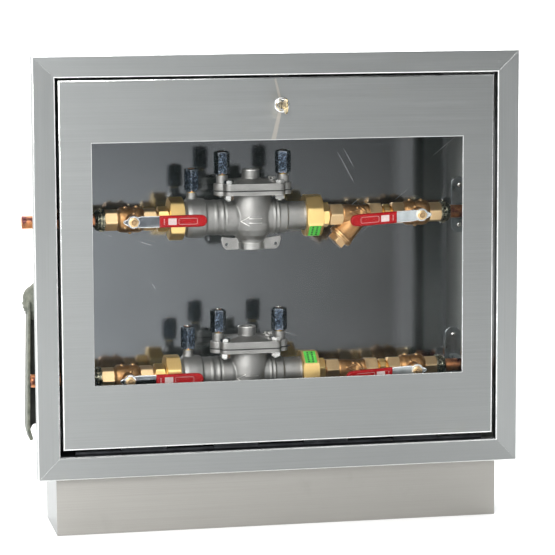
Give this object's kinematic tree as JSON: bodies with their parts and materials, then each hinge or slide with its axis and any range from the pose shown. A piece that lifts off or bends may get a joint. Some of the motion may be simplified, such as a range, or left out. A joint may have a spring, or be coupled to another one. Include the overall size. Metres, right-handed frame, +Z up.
{
  "type": "backflow preventer cabinet",
  "caption": "Recessed stainless cabinet with a windowed drop-down door, holding parallel water lines, each with ball valves, strainer and reduced-pressure backflow preventer.",
  "frame": {"origin": "middle of the bottom of the bounding box, on the surface that the plinth stands on", "axes": "+X to the right seen from the door side, +Y from the door into the cabinet, +Z up"},
  "size_m": [0.72, 0.1847, 0.681],
  "materials": {
    "stainless": "horizontally brushed",
    "hinge_steel": "rolled",
    "glass": "clear",
    "black_rubber": "matt",
    "chrome": "polished",
    "key_brass": "nickel brass, worn",
    "drain_plastic": "weathered grey-green",
    "zinc": "zinc plated",
    "copper": "drawn copper, partly tarnished",
    "bronze": "sand cast and machined, satin",
    "brass": "machined, bright",
    "cast_grey": "shot blasted casting, satin grey",
    "black_chrome": "dark polished plating",
    "red_vinyl": "dip-moulded vinyl, satin",
    "inner_plastic": "moulded"
  },
  "bodies": {
    "cabinet": {"cabinet_shell": "stainless", "front_frame": "stainless", "hinge_leaf": "hinge_steel", "pipe_clip_lower": "zinc", "pipe_clip_upper": "zinc", "pipe_in_lower": "copper", "pipe_in_upper": "copper", "pipe_out_lower": "copper", "pipe_out_upper": "copper", "rpz_body_lower": "cast_grey", "rpz_body_upper": "cast_grey", "rpz_cover_lower": "cast_grey", "rpz_cover_upper": "cast_grey", "side_drain_channel": "drain_plastic", "strainer_body_lower": "bronze", "strainer_body_upper": "bronze", "strainer_cap_lower": "bronze", "strainer_cap_upper": "bronze", "union_nut_in_lower": "brass", "union_nut_in_upper": "brass", "union_nut_out_lower": "brass", "union_nut_out_upper": "brass", "union_tail_in_lower": "brass", "union_tail_in_upper": "brass", "union_tail_out_lower": "brass", "union_tail_out_upper": "brass", "valve_in_body_lower": "bronze", "valve_in_body_upper": "bronze", "valve_out_body_lower": "bronze", "valve_out_body_upper": "bronze"},
    "door": {"door_panel": "stainless", "window_pane": "glass", "window_retainer": "black_rubber", "lock_body": "chrome"},
    "lock": {"lock_plug": "chrome", "key": "key_brass"},
    "lever_out_upper": {"valve_out_lever_upper": "zinc", "valve_out_grip_upper": "red_vinyl", "valve_out_ball_upper": "chrome"},
    "lever_in_upper": {"valve_in_lever_upper": "zinc", "valve_in_grip_upper": "red_vinyl", "valve_in_ball_upper": "chrome"},
    "cap_out_upper": {"test_cap_out_upper": "black_chrome"},
    "cap_mid_upper": {"test_cap_mid_upper": "black_chrome"},
    "cap_in_upper": {"test_cap_in_upper": "black_chrome"},
    "check_in_upper": {"check_in_upper": "inner_plastic"},
    "check_out_upper": {"check_out_upper": "inner_plastic"},
    "relief_upper": {"relief_valve_upper": "inner_plastic"},
    "lever_out_lower": {"valve_out_lever_lower": "zinc", "valve_out_grip_lower": "red_vinyl", "valve_out_ball_lower": "chrome"},
    "lever_in_lower": {"valve_in_lever_lower": "zinc", "valve_in_grip_lower": "red_vinyl", "valve_in_ball_lower": "chrome"},
    "cap_out_lower": {"test_cap_out_lower": "black_chrome"},
    "cap_mid_lower": {"test_cap_mid_lower": "black_chrome"},
    "cap_in_lower": {"test_cap_in_lower": "black_chrome"},
    "check_in_lower": {"check_in_lower": "inner_plastic"},
    "check_out_lower": {"check_out_lower": "inner_plastic"},
    "relief_lower": {"relief_valve_lower": "inner_plastic"}
  },
  "joints": [
    {"name": "door_hinge", "type": "hinge", "parent": "cabinet", "child": "door", "pos_m": [0, -0.0495, 0.1203], "axis": [1, 0, 0], "range_deg": [0, 90]},
    {"name": "lock_turn", "type": "hinge", "parent": "door", "child": "lock", "pos_m": [0.0024, -0.0545, 0.6074], "axis": [0, -1, 0], "range_deg": [0, 90]},
    {"name": "valve_out_upper", "type": "hinge", "parent": "cabinet", "child": "lever_out_upper", "pos_m": [-0.2057, 0.0155, 0.4434], "axis": [0, 1, 0], "range_deg": [0, 90]},
    {"name": "valve_in_upper", "type": "hinge", "parent": "cabinet", "child": "lever_in_upper", "pos_m": [0.2143, 0.0155, 0.4434], "axis": [0, 1, 0], "range_deg": [0, 90]},
    {"name": "cap_turn_out_upper", "type": "hinge", "parent": "cabinet", "child": "cap_out_upper", "pos_m": [-0.1162, 0.0155, 0.4816], "axis": [0, 0, 1], "range_deg": [0, 360]},
    {"name": "cap_turn_mid_upper", "type": "hinge", "parent": "cabinet", "child": "cap_mid_upper", "pos_m": [-0.0745, 0.0011, 0.5068], "axis": [0, 0, 1], "range_deg": [0, 360]},
    {"name": "cap_turn_in_upper", "type": "hinge", "parent": "cabinet", "child": "cap_in_upper", "pos_m": [0.0147, 0.0011, 0.5068], "axis": [0, 0, 1], "range_deg": [0, 360]},
    {"name": "check_slide_in_upper", "type": "slide", "parent": "cabinet", "child": "check_in_upper", "axis": [-1, 0, 0], "range_m": [0, 0.005], "stiffness_N_per_m": 200, "springref_m": -0.01},
    {"name": "check_slide_out_upper", "type": "slide", "parent": "cabinet", "child": "check_out_upper", "axis": [-1, 0, 0], "range_m": [0, 0.005], "stiffness_N_per_m": 200, "springref_m": -0.01},
    {"name": "relief_slide_upper", "type": "slide", "parent": "cabinet", "child": "relief_upper", "axis": [0, 0, -1], "range_m": [0, 0.006], "stiffness_N_per_m": 300, "springref_m": -0.006},
    {"name": "valve_out_lower", "type": "hinge", "parent": "cabinet", "child": "lever_out_lower", "pos_m": [-0.2145, 0.0055, 0.2176], "axis": [0, 1, 0], "range_deg": [0, 90]},
    {"name": "valve_in_lower", "type": "hinge", "parent": "cabinet", "child": "lever_in_lower", "pos_m": [0.2055, 0.0055, 0.2176], "axis": [0, 1, 0], "range_deg": [0, 90]},
    {"name": "cap_turn_out_lower", "type": "hinge", "parent": "cabinet", "child": "cap_out_lower", "pos_m": [-0.125, 0.0055, 0.2558], "axis": [0, 0, 1], "range_deg": [0, 360]},
    {"name": "cap_turn_mid_lower", "type": "hinge", "parent": "cabinet", "child": "cap_mid_lower", "pos_m": [-0.0833, -0.0089, 0.281], "axis": [0, 0, 1], "range_deg": [0, 360]},
    {"name": "cap_turn_in_lower", "type": "hinge", "parent": "cabinet", "child": "cap_in_lower", "pos_m": [0.0059, -0.0089, 0.281], "axis": [0, 0, 1], "range_deg": [0, 360]},
    {"name": "check_slide_in_lower", "type": "slide", "parent": "cabinet", "child": "check_in_lower", "axis": [-1, 0, 0], "range_m": [0, 0.005], "stiffness_N_per_m": 200, "springref_m": -0.01},
    {"name": "check_slide_out_lower", "type": "slide", "parent": "cabinet", "child": "check_out_lower", "axis": [-1, 0, 0], "range_m": [0, 0.005], "stiffness_N_per_m": 200, "springref_m": -0.01},
    {"name": "relief_slide_lower", "type": "slide", "parent": "cabinet", "child": "relief_lower", "axis": [0, 0, -1], "range_m": [0, 0.006], "stiffness_N_per_m": 300, "springref_m": -0.006}
  ]
}
